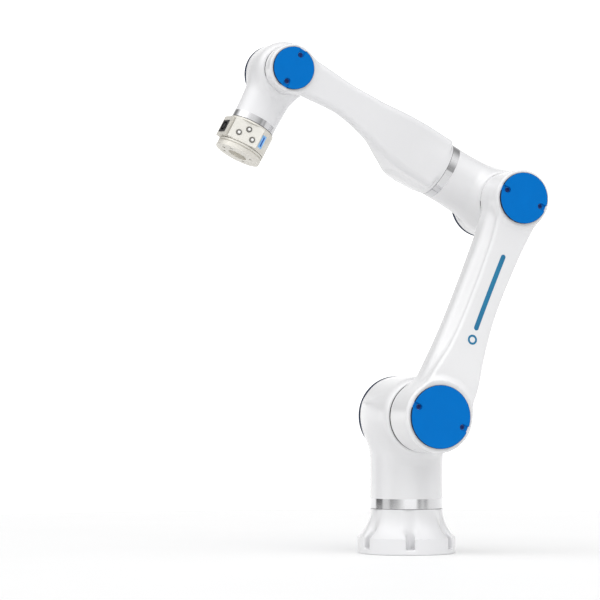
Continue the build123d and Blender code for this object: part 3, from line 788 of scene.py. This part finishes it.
# The light from everywhere, and the light from below the floor's edge.
AMBIENT = 0.08
BELOW_HORIZON = 0.97
# How narrow each broad light is, where each one comes from, and how strong it is.
LIGHT_FOCUS = 6.0
SOFT_LIGHTS = (
    ((1, 0, 0), 0.30), ((0, -1, 0), 0.2), ((0.335, 0.942, 0.06), 1.28), ((0.1, -1, 1.5), 2.6),
    ((-1, 0, 1), 2.05), ((1, -1, 1), 0.25), ((1, 0, 1), 0.28),
)
# Light and dark strips round the horizon: 0.25 is -X, 0.5 is the camera's side, 0.75 is +X.
HORIZON_STRIPS = (
    (0.0, 1.35), (0.115, 1.3), (0.13, 0.9), (0.14, 0.05), (0.205, 0.1), (0.225, 0.85),
    (0.275, 0.85), (0.30, 0.3), (0.36, 0.6), (0.43, 1.4), (0.52, 1.4), (0.55, 0.35),
    (0.585, 0.75), (0.615, 0.4), (0.65, 1.0), (0.87, 1.3), (0.999, 1.35),
)


def stage():
    """A pale round floor."""
    mesh = bpy.data.meshes.new("floor")
    corners = 96
    turns = [math.tau * i / corners for i in range(corners)]
    rim = [(FLOOR_RADIUS * math.cos(t), FLOOR_RADIUS * math.sin(t), 0) for t in turns]
    mesh.from_pydata(rim, [], [range(corners)])
    floor = bpy.data.objects.new("floor", mesh)
    bpy.context.scene.collection.objects.link(floor)
    n = Nodes("floor_paint", Roughness=0.75, Emission_Strength=0.17)
    n.shader.inputs["Emission Color"].default_value = (1, 1, 1, 1)
    n.tint(n.span(n.noise(3.0, 2.0), 0.0, 1.0), (0.72, 0.72, 0.72, 1), (0.71, 0.71, 0.71, 1))
    mesh.materials.append(n.material)


def world():
    """Studio surroundings: a few broad soft lights, and strips round the horizon for the metal to mirror."""
    scene = bpy.context.scene
    scene.view_settings.view_transform = "Standard"
    scene.world = bpy.data.worlds.new("studio")
    scene.world.use_nodes = True
    tree = scene.world.node_tree
    where = tree.nodes.new("ShaderNodeTexCoord").outputs["Generated"]

    def math_node(operation, a, b=0.0):
        node = tree.nodes.new("ShaderNodeMath")
        node.operation = operation
        for socket, value in zip(node.inputs, (a, b)):
            if isinstance(value, (int, float)):
                socket.default_value = value
            else:
                tree.links.new(value, socket)
        return node.outputs["Value"]

    total = AMBIENT
    for direction, strength in SOFT_LIGHTS:
        dot = tree.nodes.new("ShaderNodeVectorMath")
        dot.operation = "DOT_PRODUCT"
        tree.links.new(where, dot.inputs[0])
        dot.inputs[1].default_value = Vector(direction).normalized()
        lobe = math_node("POWER", math_node("MAXIMUM", dot.outputs["Value"]), LIGHT_FOCUS)
        total = math_node("ADD", math_node("MULTIPLY", lobe, strength), total)

    split = tree.nodes.new("ShaderNodeSeparateXYZ")
    tree.links.new(where, split.inputs["Vector"])
    x, y, z = (split.outputs[axis] for axis in "XYZ")
    below = math_node("LESS_THAN", z, 0.0)
    total = math_node("ADD", math_node("MULTIPLY", total, math_node("SUBTRACT", 1.0, below)),
                      math_node("MULTIPLY", below, BELOW_HORIZON))
    bearing = math_node("ARCTAN2", x, math_node("MULTIPLY", y, -1.0))
    turn = math_node("ADD", math_node("DIVIDE", bearing, math.tau), 0.5)
    strips = tree.nodes.new("ShaderNodeValToRGB")
    ramp = strips.color_ramp
    for bearing_share, brightness in HORIZON_STRIPS:
        stop = ramp.elements.new(bearing_share)
        stop.color = (brightness, brightness, brightness, 1)
    ramp.elements.remove(ramp.elements[0])
    ramp.elements.remove(ramp.elements[-1])
    tree.links.new(turn, strips.inputs["Fac"])
    band = tree.nodes.new("ShaderNodeMapRange")
    band.interpolation_type = "SMOOTHSTEP"
    for key, value in zip(("From Min", "From Max", "To Min", "To Max"), (0.07, 0.12, 1.0, 0.0)):
        band.inputs[key].default_value = value
    tree.links.new(math_node("ABSOLUTE", z), band.inputs["Value"])
    share = band.outputs["Result"]
    open_sky = math_node("SUBTRACT", 1.0, share)
    mirrored = math_node("MULTIPLY", share, strips.outputs["Color"])
    level = math_node("ADD", mirrored, math_node("MULTIPLY", total, open_sky))
    tree.links.new(level, tree.nodes["Background"].inputs["Strength"])
    tree.nodes["Background"].inputs["Color"].default_value = (1, 1, 1, 1)


def camera():
    """A long lens, a little above the floor and turned to the left of the arm's front."""
    data = bpy.data.cameras.new("camera")
    focal_pixels, picture_pixels = 2600.0, 600.0
    data.sensor_width = 36.0
    data.lens = data.sensor_width * focal_pixels / picture_pixels
    data.clip_end = 60.0
    eye = bpy.data.objects.new("camera", data)
    eye.location = (-1.570, -3.898, 0.268)
    azimuth, pitch = math.radians(-19.6), math.radians(1.9)
    eye.rotation_euler = (math.pi / 2 + pitch, 0, azimuth)
    bpy.context.scene.collection.objects.link(eye)
    bpy.context.scene.camera = eye


stage()
world()
camera()
